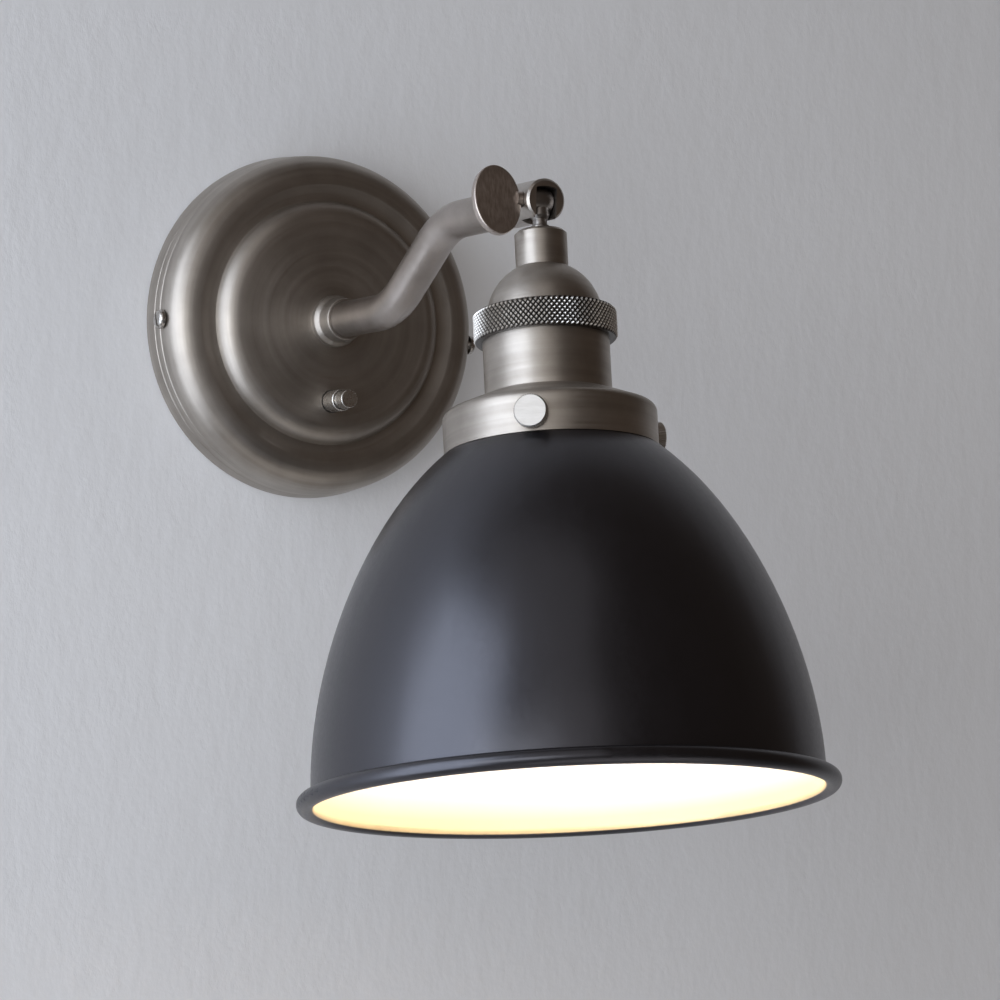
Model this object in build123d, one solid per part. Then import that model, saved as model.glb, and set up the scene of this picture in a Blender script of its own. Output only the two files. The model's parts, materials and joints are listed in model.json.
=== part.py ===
from build123d import *
from math import cos, radians, sin, sqrt, tan
import os

os.makedirs("parts", exist_ok=True)

# Bedside wall reading lamp: a round pressed wall plate, a cranked arm, a slotted
# knuckle with a thumb screw, and a lampholder head with a bell shade.
# Millimetres. The origin is the plate's centre on the wall.
# +X is right and +Z up, seen from the room, and the lamp stands out along -Y.

# Fits and seats
thread_gap = 0.05            # between a screwed or brazed piece and its hole
running_gap = 0.08           # between a turning or sliding shaft and its hole
moving_gap = 0.3             # between pieces that move past each other
seat_gap = 0.25              # between loose pieces that rest against each other
through = 1.0                # how far a cut runs past the faces it opens

# Wall plate
plate_radius = 61.5          # rim on the wall
plate_draft = 5.4            # lean of the side wall, in degrees
plate_wall = 1.2
shoulder_height = 20.2       # theoretical corner of side wall and ring
shoulder_round = 5.0
cove_inset = 13.0            # from the rim to the middle of the ring's shallow hollow
cove_depth = 2.0             # of the hollow, below the shoulder's corner
cove_round = 25.0
step_inset = 19.1            # from the rim to the foot of the raised disc
step_depth = 1.1             # of the foot, below the shoulder's corner
step_round = 0.8
disc_lean = 0.9              # how far the disc's edge leans in
disc_height = 25.0
disc_round = 1.2
groove_height = 5.6          # of the first scribed line round the side wall
groove_pitch = 3.8           # from it to the second
groove_count = 2
groove_depth = 0.35

# Wall bracket
bracket_thickness = 2.0
bracket_width = 22.0
bracket_bend = 1.6           # inner radius of the two bends
lug_width = 10.0             # with its middle on the side screws
slot_spacing = 60.3          # between the two wall-screw slots
slot_width = 4.6
slot_length = 12.0
cable_hole_radius = 8.0
tab_width = 32.0             # tab above the strap, for the terminals
tab_top = 39.0

# Plate fixing screws
side_screw_height = 11.4
side_screw_drop = 2.8        # below the plate's centre
side_screw_radius = 1.75
side_screw_head_radius = 3.4
side_screw_head_height = 2.2
side_screw_head_round = 0.75  # share of the head's height that is rounded
side_screw_length = 5.0

# Terminals on the bracket
block_length = 26.0
block_width = 16.0
block_depth = 11.0
block_rise = 27.0            # centre, above the plate's centre
block_chamfer = 1.5
pole_count = 3
pole_pitch = 8.2
pole_row_offset = 4.0        # of each screw row from the block's middle
pole_screw_radius = 1.5
pole_screw_length = 4.4
pole_screw_slot = 0.6
pole_wire_radius = 1.4
pole_wire_depth = 4.4        # of the wire ways, in front of the bracket
block_screw_head_height = 1.6
earth_screw_radius = 2.0
earth_screw_head_height = 2.2
earth_screw_inset = 16.5     # from the plate's rim

# Arm
arm_radius = 6.35
arm_wall = 1.8
arm_first_corner = 70.5      # out from the wall
arm_rise = 26.6
arm_slope = 35.0             # of the cranked part, in degrees
arm_bend = 36.0              # radius of both bends
collar_base_radius = 9.2
collar_base_height = 2.2
collar_base_round = 0.9
collar_cone_radius = 7.9     # foot of the cone
collar_cone_height = 3.8
collar_mouth_radius = 7.4
collar_height = 9.6
collar_socket = 5.0          # depth of the arm in the collar
nipple_radius = 5.0
nipple_bore = 3.7
nipple_tail = 11.0           # behind the plate's face
washer_radius = 8.0
washer_thickness = 0.8
nut_across = 14.0
nut_thickness = 3.0

# Switch
switch_drop = 28.5           # below the plate's centre
switch_body_size = 13.0
switch_body_depth = 12.0
switch_tag_width = 2.4
switch_tag_thickness = 0.8
switch_tag_length = 3.0
switch_tag_pitch = 6.4
bush_radius = 3.9
bush_height = 8.0            # in front of the plate's face
switch_nut_across = 11.0
switch_nut_thickness = 2.0
button_radius = 3.2
button_round = 0.35
button_height = 5.8          # in front of the bush
button_travel = 2.5

# Knuckle
pivot_reach = 172.4          # out from the wall
barrel_radius = 7.0
barrel_behind = 18.4         # behind the pivot
barrel_ahead = 5.1           # in front of the pivot
barrel_chamfer = 0.7
spigot_length = 8.0          # of the barrel's tail in the arm
wire_way_radius = 2.6        # through the barrel's tail
tongue_radius = 4.2          # of its round end
tongue_thickness = 6.9
tongue_crown = 0.6           # how much the round end swells between its flats
stem_relief = 0.15           # of the stem inside the flats
stem_end = 5.0               # of the stem's thick part, below the pivot
waist_radius = 2.4
waist_taper = 1.4            # from the thick part to the waist
tongue_collar_radius = 3.0
tongue_collar_height = 2.0
tongue_thread_radius = 2.5
tongue_thread_length = 6.0
spot_face_depth = 0.6

# Thumb screw
thumb_shank_radius = 2.0
thumb_boss_radius = 2.6
thumb_boss_length = 1.5       # of the boss over the paddle's end
thumb_tip_cover = 1.5        # of the barrel left over the screw's tip
paddle_length = 17.0         # along the screw
paddle_height = 23.4
paddle_drop = 1.1            # of the paddle's middle below the screw
paddle_thickness = 2.6
paddle_round = 0.5
paddle_turn = 12.0           # turn from upright at rest, in degrees

# Lampholder, stacked down the head's axis from the pivot
rest_tilt = 9.0              # from hanging straight down, in degrees
neck_radius = 8.5
neck_clearance = 3.3         # below the barrel
neck_length = 12.2
neck_chamfer = 0.9
dome_radius = 18.7
dome_wall = 1.5
dome_seat = 2.0              # how far the ball's top is cut down for the neck
knurled_ring_radius = 23.3
knurled_ring_height = 9.4
knurled_ring_overlap = 1.8   # above the middle of the ball
knurled_ring_chamfer = 0.8
sleeve_radius = 20.5
sleeve_wall = 1.1
sleeve_length = 18.2
holder_depth = 10.5          # of the holder below the sleeve
holder_floor_rise = 8.0      # of the shell's floor above the sleeve's end
holder_tongue = 2.0          # of the holder's neck below the middle of the ball
holder_terminal_size = 5.0
holder_terminal_height = 3.8
holder_terminal_depth = 3.8
holder_terminal_across = 10.0
holder_wire_radius = 1.1
shell_radius = 14.3
shell_wall = 0.5
shell_floor_width = 3.0
contact_base_radius = 4.0
contact_base_height = 1.2

# Shade gallery
gallery_radius = 34.5
gallery_wall = 1.2
gallery_land = 0.7           # of the shoulder's flat, outside the sleeve
gallery_slope = 22.0         # of the shoulder, in degrees
gallery_round = 2.6
gallery_height = 18.6
clamp_ring_width = 2.4       # outside the flat
clamp_ring_height = 5.0
clamp_notch_count = 6
clamp_notch_width = 4.0
clamp_notch_depth = 1.2

# Shade
shade_wall = 0.9
shade_neck_play = 0.9        # between the shade's neck and the gallery
shade_neck_height = 10.0     # up inside the gallery
shade_lip = 0.6              # turned-out lip at the neck's top
shade_shoulder_round = 1.5
shade_start_across = 1.2     # where the bell's curve starts, outside the gallery
shade_start_drop = 1.0       # and below it
shade_start_angle = 50.0     # from the head axis, in degrees
shade_start_pull = 37.3      # handle lengths of the bell's curve
shade_end_pull = 36.0
shade_mouth_radius = 80.3    # inside the mouth
shade_depth = 107.7          # from the gallery to the bead
bead_radius = 2.8
bead_drop = 2.5              # of the bead's centre below the bell

# Shade screws
shade_screw_rise = 5.8       # above the gallery's end
shade_screw_radius = 1.8
shade_screw_head_radius = 5.4
shade_screw_head_height = 3.2
shade_screw_head_round = 0.6
shade_screw_count = 3
shade_screw_turn = -9.0      # of the first one, about the head's axis from +X, in degrees

# Bulb
bulb_radius = 30.0
bulb_length = 52.0           # from its cap to the middle of the ball
bulb_wall = 1.0
bulb_neck_pull = 22.0        # handle lengths of the neck's curve
bulb_side_pull = 26.0
bulb_foot = 8.0              # of the glass inside the cap
bulb_cap_radius = 13.2
bulb_cap_wall = 0.8
bulb_cap_length = 23.0
bulb_cap_collar_radius = 14.6
bulb_cap_collar_height = 5.0
bulb_tip_radius = 4.5
bulb_tip_height = 4.0


def turned(points, rounds=None):
    """Solid turned about Z from (radius, distance down -Z) points."""
    corners = [(radius, -distance) for radius, distance in points]
    if rounds is None:
        outline = Polyline(corners, close=True)
    else:
        outline = FilletPolyline(corners, radius=rounds, close=True)
    return revolve(Plane.XZ * make_face(outline), Axis.Z)


def disc(radius, start, end):
    """Plain round rod down -Z between two distances."""
    return Pos(0, 0, -(start + end) / 2) * Cylinder(radius, end - start)


def ring(outer, inner, start, end):
    """Plain round tube down -Z between two distances."""
    return disc(outer, start, end) - disc(inner, start - through, end + through)


def rod_along_x(radius, start, end):
    return Pos((start + end) / 2, 0, 0) * Rot(0, 90, 0) * Cylinder(radius, end - start)


def hexagon_nut(across, bore, start, end):
    prism = extrude(RegularPolygon(across / 2, 6, major_radius=False), end - start)
    return Pos(0, 0, -end) * prism - disc(bore, start - through, end + through)


def slotted_screw(head_radius, head_height, shank_radius, shank_length, round_share=0.35):
    """Slotted screw with its seat at the origin and its head on +Z."""
    head = turned([(0, 0), (head_radius, 0), (head_radius, -head_height), (0, -head_height)],
                  [0, 0, head_height * round_share, 0])
    slot = Pos(0, 0, head_height) * Box(head_radius * 3, head_radius * 0.3, head_height * 0.7)
    shank = disc(shank_radius, -head_height * 0.3, shank_length)
    return head - slot + shank


# Frames: the wall plate's axis runs out of the wall, and the head hangs from the pivot.
wall_frame = Rot(-90, 0, 0)
facing_room = Rot(90, 0, 0)
switch_frame = Pos(0, 0, -switch_drop) * wall_frame
pivot_place = Pos(0, -pivot_reach, arm_rise)
head_frame = pivot_place * Rot(-rest_tilt, 0, 0)


# ---------------------------------------------------------------- wall plate

plate_back = disc_height - plate_wall
side_screw_hole = side_screw_radius + seat_gap


def cover_radius_at(height):
    return plate_radius - height * tan(radians(plate_draft))


def cover_body(inset):
    """The plate's solid form, drawn in by inset from its outer skin."""
    points = [(0, 0),
              (cover_radius_at(0) - inset, 0),
              (cover_radius_at(shoulder_height) - inset, shoulder_height - inset),
              (plate_radius - cove_inset, shoulder_height - cove_depth - inset),
              (plate_radius - step_inset - inset, shoulder_height - step_depth - inset),
              (plate_radius - step_inset - disc_lean - inset, disc_height - inset),
              (0, disc_height - inset)]
    rounds = [0, 0, shoulder_round - inset, cove_round + inset, step_round + inset,
              max(disc_round - inset, plate_wall / 4), 0]
    return turned(points, rounds)


def make_backplate_cover():
    cover = cover_body(0) - cover_body(plate_wall)
    for index in range(groove_count):
        height = groove_height + index * groove_pitch
        radius = cover_radius_at(height)
        cover -= turned([(radius - groove_depth, height),
                         (radius + groove_depth, height - 2 * groove_depth),
                         (radius + groove_depth, height + 2 * groove_depth)])
    cover -= disc(nipple_radius + seat_gap, 0, disc_height + through)
    cover -= Pos(0, switch_drop, 0) * disc(bush_radius + seat_gap, 0, disc_height + through)
    screw_holes = rod_along_x(side_screw_hole, -plate_radius - through, plate_radius + through)
    cover -= Pos(0, side_screw_drop, -side_screw_height) * screw_holes
    return wall_frame * cover


# -------------------------------------------------------------- wall bracket

lug_height = shoulder_height - shoulder_round - seat_gap
lug_face_radius = cover_radius_at(lug_height) - plate_wall
lug_low = side_screw_drop + lug_width / 2
lug_reach = sqrt(lug_face_radius ** 2 - lug_low ** 2) - seat_gap
lug_back = lug_reach - bracket_thickness
bracket_face = -bracket_thickness
block_face = bracket_face - block_depth
earth_place = Pos(plate_radius - earth_screw_inset, bracket_face, 0) * facing_room
block_place = Pos(0, bracket_face - block_depth / 2, block_rise)
block_screw_place = block_place * Pos(pole_pitch / 2, 0, 0) * facing_room


def make_wall_bracket():
    """Strap on the wall with a tab above it and two bent-out lugs."""
    outer_bend = bracket_bend + bracket_thickness
    section = FilletPolyline(
        (-lug_reach, -lug_height), (-lug_reach, 0),
        (lug_reach, 0), (lug_reach, -lug_height),
        (lug_back, -lug_height), (lug_back, bracket_face),
        (-lug_back, bracket_face), (-lug_back, -lug_height),
        radius=[0, outer_bend, outer_bend, 0, 0, bracket_bend, bracket_bend, 0],
        close=True)
    lugs = Pos(0, 0, -lug_low) * extrude(make_face(section), lug_width)
    strap_length = 2 * (lug_back - 2 * bracket_bend)
    strap = Pos(0, bracket_face / 2, 0) * Box(strap_length, bracket_thickness, bracket_width)
    tab = Pos(0, bracket_face / 2, tab_top / 2) * Box(tab_width, bracket_thickness, tab_top)
    bracket = lugs + strap + tab
    slot = Plane.XZ * SlotOverall(slot_length, slot_width)
    for side in (-1, 1):
        slot_cut = extrude(slot, bracket_thickness + 2 * through)
        bracket -= Pos(side * slot_spacing / 2, through, 0) * slot_cut
    bracket -= wall_frame * disc(cable_hole_radius, -through, bracket_thickness + through)
    lug_hole = rod_along_x(side_screw_radius + thread_gap, -lug_reach - through, lug_reach + through)
    bracket -= Pos(0, -side_screw_height, -side_screw_drop) * lug_hole
    bracket -= earth_place * disc(earth_screw_radius + thread_gap, -through, bracket_thickness + through)
    bracket -= block_screw_place * disc(pole_screw_radius + thread_gap, 0, block_depth)
    return bracket


def make_side_screws():
    seat = cover_radius_at(side_screw_height - side_screw_head_radius)
    screw = slotted_screw(side_screw_head_radius, side_screw_head_height,
                          side_screw_radius, side_screw_length, side_screw_head_round)
    right = Pos(seat, -side_screw_height, -side_screw_drop) * Rot(0, 90, 0) * Rot(0, 0, 35) * screw
    left = Pos(-seat, -side_screw_height, -side_screw_drop) * Rot(0, -90, 0) * Rot(0, 0, 20) * screw
    return Compound([right, left])


# ----------------------------------------------------------------- terminals

pole_screw_floor = pole_wire_depth + pole_wire_radius


def pole_places():
    """Centre of each terminal screw's hole on the block's face."""
    for pole in range(pole_count):
        across = (pole - (pole_count - 1) / 2) * pole_pitch
        for row in (-pole_row_offset, pole_row_offset):
            yield Pos(across, block_face, block_rise + row) * facing_room


def make_terminal_block():
    block = block_place * Box(block_length, block_depth, block_width)
    block = chamfer(block.edges().filter_by(Axis.X).group_by(Axis.Y)[0], block_chamfer)
    for pole in range(pole_count):
        across = (pole - (pole_count - 1) / 2) * pole_pitch
        wire_way = Pos(across, bracket_face - pole_wire_depth, block_rise)
        block -= wire_way * Cylinder(pole_wire_radius, block_width + 2 * through)
    for place in pole_places():
        block -= place * disc(pole_screw_radius + thread_gap, -through, block_depth - pole_wire_depth)
    block -= block_screw_place * disc(pole_screw_radius + thread_gap, -block_depth, block_depth)
    block -= block_screw_place * disc(pole_screw_radius * 2, -block_depth, 0)
    return block


def make_terminal_screws():
    screw = disc(pole_screw_radius, 0, pole_screw_length)
    screw -= Box(pole_screw_radius * 3, pole_screw_slot, pole_screw_length / 2)
    sunk = Pos(0, 0, pole_screw_floor + pole_screw_length - block_depth)
    return Compound([place * sunk * screw for place in pole_places()])


def make_block_screw():
    return block_screw_place * slotted_screw(pole_screw_radius * 1.8, block_screw_head_height,
                                             pole_screw_radius, block_depth / 2 + bracket_thickness)


def make_earth_screw():
    return earth_place * slotted_screw(earth_screw_radius * 1.9, earth_screw_head_height,
                                       earth_screw_radius, bracket_thickness)


# ----------------------------------------------------------------------- arm

arm_bore = arm_radius - arm_wall
collar_top = disc_height + collar_height
arm_start = collar_top - collar_socket
arm_second_corner = arm_first_corner + arm_rise / tan(radians(arm_slope))
barrel_back = pivot_reach - barrel_behind


def arm_rod(radius):
    path = FilletPolyline((0, -arm_start, 0), (0, -arm_first_corner, 0),
                          (0, -arm_second_corner, arm_rise), (0, -barrel_back, arm_rise),
                          radius=arm_bend)
    start = Plane(origin=(0, -arm_start, 0), z_dir=(0, -1, 0))
    return sweep(start * Circle(radius), path=path)


def make_arm_tube():
    return arm_rod(arm_radius) - arm_rod(arm_bore)


def make_arm_collar():
    """Flanged foot with a slightly tapered neck that takes the arm's end."""
    base_top = disc_height + collar_base_height
    collar = turned([(0, disc_height), (collar_base_radius, disc_height),
                     (collar_base_radius, base_top),
                     (collar_cone_radius, disc_height + collar_cone_height),
                     (collar_mouth_radius, collar_top), (0, collar_top)],
                    [0, 0, collar_base_round, collar_base_round, thread_gap * 10, 0])
    collar -= disc(arm_radius + thread_gap, arm_start, collar_top + through)
    collar -= disc(nipple_radius + thread_gap, disc_height - through, arm_start + through)
    return wall_frame * collar


def make_arm_nipple():
    tail = plate_back - nipple_tail
    return wall_frame * ring(nipple_radius, nipple_bore, tail, arm_start - seat_gap)


def make_arm_lock_washer():
    seat = plate_back - washer_thickness
    return wall_frame * ring(washer_radius, nipple_radius + seat_gap, seat, plate_back)


def make_arm_locknut():
    seat = plate_back - washer_thickness
    return wall_frame * hexagon_nut(nut_across, nipple_radius + thread_gap, seat - nut_thickness, seat)


# -------------------------------------------------------------------- switch

bush_front = disc_height + bush_height
bush_back = plate_back - switch_nut_thickness - seat_gap
bush_bore = button_radius + running_gap
switch_body_back = bush_back - switch_body_depth


def make_switch_body():
    middle = (bush_back + switch_body_back) / 2
    body = Pos(0, 0, -middle) * Box(switch_body_size, switch_body_size, switch_body_depth)
    body = chamfer(body.edges().filter_by(Axis.Z), switch_body_size / 12)
    for side in (-1, 1):
        tag = Box(switch_tag_width, switch_tag_thickness, switch_tag_length * 2)
        body += Pos(side * switch_tag_pitch / 2, 0, -switch_body_back) * tag
    return switch_frame * body


def make_switch_bush():
    bush = turned([(bush_bore, bush_back), (bush_radius, bush_back), (bush_radius, bush_front),
                   (bush_bore, bush_front)], [0, 0, 0.5, 0.2])
    return switch_frame * bush


def make_switch_nut():
    return switch_frame * hexagon_nut(switch_nut_across, bush_radius + thread_gap,
                                      plate_back - switch_nut_thickness, plate_back)


def make_switch_button():
    front = bush_front + button_height
    back = bush_back + button_travel + moving_gap
    button = turned([(0, back), (button_radius, back), (button_radius, front), (0, front)],
                    [0, 0, button_round, 0])
    return switch_frame * button


# ------------------------------------------------------------------- knuckle

slot_half_width = tongue_thickness / 2 + moving_gap
slot_back = pivot_reach - tongue_radius - moving_gap
slot_ceiling = tongue_radius + moving_gap
slot_spring = slot_ceiling - tongue_crown
spot_face = barrel_radius - spot_face_depth
thumb_hole = thumb_shank_radius + running_gap
barrel_end = barrel_radius + through
neck_top = barrel_radius + neck_clearance
tongue_end = neck_top + tongue_thread_length


def make_knuckle_barrel():
    """Rod on the arm's end with a forked front, slotted from below under an arched roof."""
    barrel_front = pivot_reach + barrel_ahead
    barrel = disc(barrel_radius, barrel_back, barrel_front)
    barrel = chamfer(barrel.edges().filter_by(GeomType.CIRCLE), barrel_chamfer)
    barrel += disc(arm_bore - thread_gap, barrel_back - spigot_length, barrel_back + through)
    barrel -= disc(wire_way_radius, barrel_back - spigot_length - through, slot_back + through)
    barrel = Pos(0, 0, arm_rise) * wall_frame * barrel
    roof = ThreePointArc((-slot_half_width, slot_spring), (0, slot_ceiling),
                         (slot_half_width, slot_spring))
    cheeks = Polyline((slot_half_width, slot_spring), (slot_half_width, -barrel_end),
                      (-slot_half_width, -barrel_end), (-slot_half_width, slot_spring))
    slot_plane = Plane(origin=(0, -slot_back, arm_rise), x_dir=(1, 0, 0), z_dir=(0, -1, 0))
    barrel -= extrude(slot_plane * make_face(roof + cheeks), barrel_front - slot_back + through)
    barrel -= pivot_place * rod_along_x(thumb_hole, -barrel_end, spot_face)
    barrel -= pivot_place * rod_along_x(thumb_boss_radius + moving_gap, -barrel_end, -spot_face)
    return barrel


def make_swivel_tongue():
    """Crowned round end with two flats on a waisted stem, with a collar and a threaded end."""
    half = tongue_thickness / 2
    edge = tongue_radius - tongue_crown
    rim = ThreePointArc((edge, -half), (tongue_radius, 0), (edge, half))
    flats = Polyline((edge, half), (0, half), (0, -half), (edge, -half))
    round_end = Rot(0, 90, 0) * revolve(Plane.XZ * make_face(rim + flats), Axis.Z)
    stem_radius = half - stem_relief
    collar_start = neck_top - tongue_collar_height
    stem = turned([(0, 0), (stem_radius, 0), (stem_radius, stem_end),
                   (waist_radius, stem_end + waist_taper), (waist_radius, collar_start),
                   (tongue_collar_radius, collar_start), (tongue_collar_radius, neck_top),
                   (0, neck_top)],
                  [0, 0, 0.5, 0.5, 0.2, 0.3, 0.3, 0])
    thread = disc(tongue_thread_radius, neck_top - through, tongue_end)
    tongue = round_end + stem + thread
    tongue -= rod_along_x(thumb_hole, -half - through, half + through)
    return head_frame * tongue


def make_thumb_screw():
    """Oval paddle, boss and shank, turned a little from upright."""
    boss_face = -spot_face - moving_gap / 2
    paddle_end = -barrel_radius - moving_gap
    centre = paddle_end - paddle_length / 2
    outline = Ellipse(paddle_length / 2, paddle_height / 2)
    paddle = extrude(Plane.XZ * outline, paddle_thickness / 2, both=True)
    paddle = fillet(paddle.edges(), paddle_round)
    screw = Pos(centre, 0, -paddle_drop) * paddle
    screw += rod_along_x(thumb_boss_radius, paddle_end - thumb_boss_length, boss_face)
    screw += rod_along_x(thumb_shank_radius, boss_face - through, barrel_radius - thumb_tip_cover)
    return pivot_place * Rot(-paddle_turn, 0, 0) * screw


# ---------------------------------------------------------------- lampholder

neck_bottom = neck_top + neck_length
dome_centre = neck_bottom - dome_seat + dome_radius
knurled_ring_top = dome_centre - knurled_ring_overlap
knurled_ring_bottom = knurled_ring_top + knurled_ring_height
sleeve_bottom = knurled_ring_bottom + sleeve_length
holder_bottom = sleeve_bottom + holder_depth
holder_floor = sleeve_bottom - holder_floor_rise
holder_top = dome_centre + holder_tongue
nipple_top = tongue_end + seat_gap
nipple_end = neck_bottom + neck_chamfer * 6
skirt_radius = sqrt(dome_radius ** 2 - knurled_ring_overlap ** 2)
skirt_bore = skirt_radius - dome_wall
skirt_end = knurled_ring_bottom - seat_gap
sleeve_bore = sleeve_radius - sleeve_wall
holder_radius = sleeve_bore - seat_gap


def make_neck_cap():
    """Round neck with a chamfered top, tapped from both ends."""
    neck = disc(neck_radius, neck_top, neck_bottom)
    neck = chamfer(neck.edges().group_by(Axis.Z)[-1], neck_chamfer)
    neck -= disc(tongue_thread_radius + thread_gap, neck_top - through, nipple_top + through)
    neck -= disc(nipple_radius + thread_gap, nipple_top, neck_bottom + through)
    return head_frame * neck


def make_head_nipple():
    return head_frame * ring(nipple_radius, nipple_bore, nipple_top + seat_gap, nipple_end)


def upper_ball(radius, top):
    """Ball about the dome's centre, cut flat at its middle and at a distance from the pivot."""
    ball = Pos(0, 0, -dome_centre) * Sphere(radius)
    return ball & disc(radius, top, dome_centre)


def make_lampholder_dome():
    """Thin ball with a thick seat for the neck and a straight skirt in the ring."""
    dome = upper_ball(dome_radius, neck_bottom)
    dome -= upper_ball(dome_radius - dome_wall, nipple_end - dome_wall)
    dome += ring(skirt_radius, skirt_bore, dome_centre - dome_wall, skirt_end)
    dome -= disc(nipple_radius + thread_gap, neck_bottom - through, nipple_end + through)
    return head_frame * dome


def make_knurled_ring():
    bore = dome_radius + thread_gap
    knurled = disc(knurled_ring_radius, knurled_ring_top, knurled_ring_bottom)
    knurled = chamfer(knurled.edges().filter_by(GeomType.CIRCLE), knurled_ring_chamfer)
    knurled -= disc(bore, knurled_ring_top - through, knurled_ring_bottom + through)
    return head_frame * knurled


def make_lampholder_sleeve():
    return head_frame * ring(sleeve_radius, sleeve_bore, knurled_ring_bottom, sleeve_bottom)


holder_terminal_places = [Pos(side * holder_terminal_across, 0, -holder_top) for side in (-1, 1)]
holder_pocket_size = holder_terminal_size + 2 * thread_gap


def make_lampholder_body():
    """Insulating body with a neck in the dome's skirt and a deep socket below."""
    neck = skirt_bore - seat_gap
    shoulder = skirt_end + seat_gap * 2
    body = turned([(0, holder_top), (neck, holder_top), (neck, shoulder),
                   (holder_radius, shoulder), (holder_radius, holder_bottom), (0, holder_bottom)],
                  [0, 0.8, 0, 0.5, 0.8, 0])
    body -= disc(shell_radius + seat_gap, holder_floor, holder_bottom + through)
    body -= disc(nipple_bore, holder_top - through, holder_top + nipple_bore)
    for place in holder_terminal_places:
        body -= place * Box(holder_pocket_size, holder_pocket_size, holder_terminal_depth * 2)
    return head_frame * body


def make_holder_terminals():
    height = holder_terminal_depth + holder_terminal_height
    terminal = Pos(0, 0, height / 2 - holder_terminal_depth) * Box(holder_terminal_size,
                                                                   holder_terminal_size, height)
    wire_way = Rot(90, 0, 0) * Cylinder(holder_wire_radius, holder_terminal_size + through)
    terminal -= Pos(0, 0, holder_terminal_height / 2) * wire_way
    return head_frame * Compound([place * terminal for place in holder_terminal_places])


def make_screw_shell():
    top = holder_floor + seat_gap
    shell = ring(shell_radius, shell_radius - shell_wall, top, holder_bottom - shell_wall * 2)
    shell += ring(shell_radius, shell_radius - shell_floor_width, top, top + shell_wall)
    return head_frame * shell


bulb_cap_top = holder_floor + 3.0
bulb_cap_bottom = bulb_cap_top + bulb_cap_length


def make_centre_contact():
    """Sprung tongue under the bulb's tip, drawn as a cone on a round base."""
    base_end = holder_floor + contact_base_height
    tip = bulb_cap_top - seat_gap
    contact = turned([(0, holder_floor), (contact_base_radius, holder_floor),
                      (contact_base_radius, base_end), (contact_base_radius * 0.75, base_end),
                      (contact_base_radius * 0.4, tip), (0, tip)])
    return head_frame * contact


# ------------------------------------------------------------- shade gallery

gallery_bottom = sleeve_bottom + gallery_height
gallery_flat = sleeve_radius + gallery_land
gallery_fall = (gallery_radius - gallery_flat) * tan(radians(gallery_slope))
shade_neck_radius = gallery_radius - gallery_wall - shade_neck_play
shade_screw_drop = gallery_bottom - shade_screw_rise


def gallery_section(inset):
    """The gallery's solid form, drawn in by inset from its outer skin."""
    top = sleeve_bottom + inset
    wall = gallery_radius - inset
    bottom = gallery_bottom + inset
    rounded = max(gallery_round - inset, gallery_wall / 2)
    return turned([(0, top), (gallery_flat, top), (wall, top + gallery_fall), (wall, bottom), (0, bottom)],
                  [0, gallery_wall, rounded, 0, 0])


def shade_screw_places():
    for index in range(shade_screw_count):
        turn = shade_screw_turn + index * 360 / shade_screw_count
        yield Pos(0, 0, -shade_screw_drop) * Rot(0, 0, turn)


def make_shade_gallery():
    """Shallow cup under the sleeve that carries the shade by three screws."""
    gallery = gallery_section(0) - gallery_section(gallery_wall)
    gallery -= disc(holder_radius + seat_gap, sleeve_bottom - through, sleeve_bottom + gallery_wall + through)
    screw_hole = rod_along_x(shade_screw_radius + running_gap, shade_neck_radius, gallery_radius + through)
    for place in shade_screw_places():
        gallery -= place * screw_hole
    return head_frame * gallery


def make_clamp_ring():
    """Notched ring on the holder that holds the gallery against the sleeve."""
    top = sleeve_bottom + gallery_wall
    end = top + clamp_ring_height
    bore = holder_radius + thread_gap
    rim = gallery_flat + clamp_ring_width
    rim_top = top + clamp_ring_width * tan(radians(gallery_slope)) + seat_gap
    clamp = turned([(bore, top), (gallery_flat - seat_gap, top), (rim, rim_top), (rim, end), (bore, end)],
                   [0, 0, 0, clamp_ring_width / 4, 0])
    notch = Pos(rim, 0, -end) * Box(clamp_notch_depth * 2, clamp_notch_width, clamp_ring_height)
    for index in range(clamp_notch_count):
        clamp -= Rot(0, 0, index * 360 / clamp_notch_count) * notch
    return head_frame * clamp


# --------------------------------------------------------------------- shade

start_slope = radians(shade_start_angle)
shade_end = gallery_bottom + shade_depth
bead_centre = shade_end + bead_drop
shade_neck_top = gallery_bottom - shade_neck_height


def shade_skin(inset):
    """One side of the shade's wall, from the neck's top to the mouth, drawn in by inset."""
    neck = shade_neck_radius - inset
    shoulder = gallery_bottom + seat_gap + inset
    start_radius = gallery_radius + shade_start_across - inset * cos(start_slope)
    start_drop = gallery_bottom + shade_start_drop + inset * sin(start_slope)
    corner = start_radius - (start_drop - shoulder) * tan(start_slope)
    mouth = shade_mouth_radius + shade_wall - inset
    neck_line = FilletPolyline((neck, -shade_neck_top), (neck, -shoulder), (corner, -shoulder),
                               (start_radius, -start_drop),
                               radius=[shade_wall / 2 + inset, shade_shoulder_round - inset])
    bell = Bezier((start_radius, -start_drop),
                  (start_radius + shade_start_pull * sin(start_slope),
                   -start_drop - shade_start_pull * cos(start_slope)),
                  (mouth, -shade_end + shade_end_pull),
                  (mouth, -shade_end))
    return neck_line + bell


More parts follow.
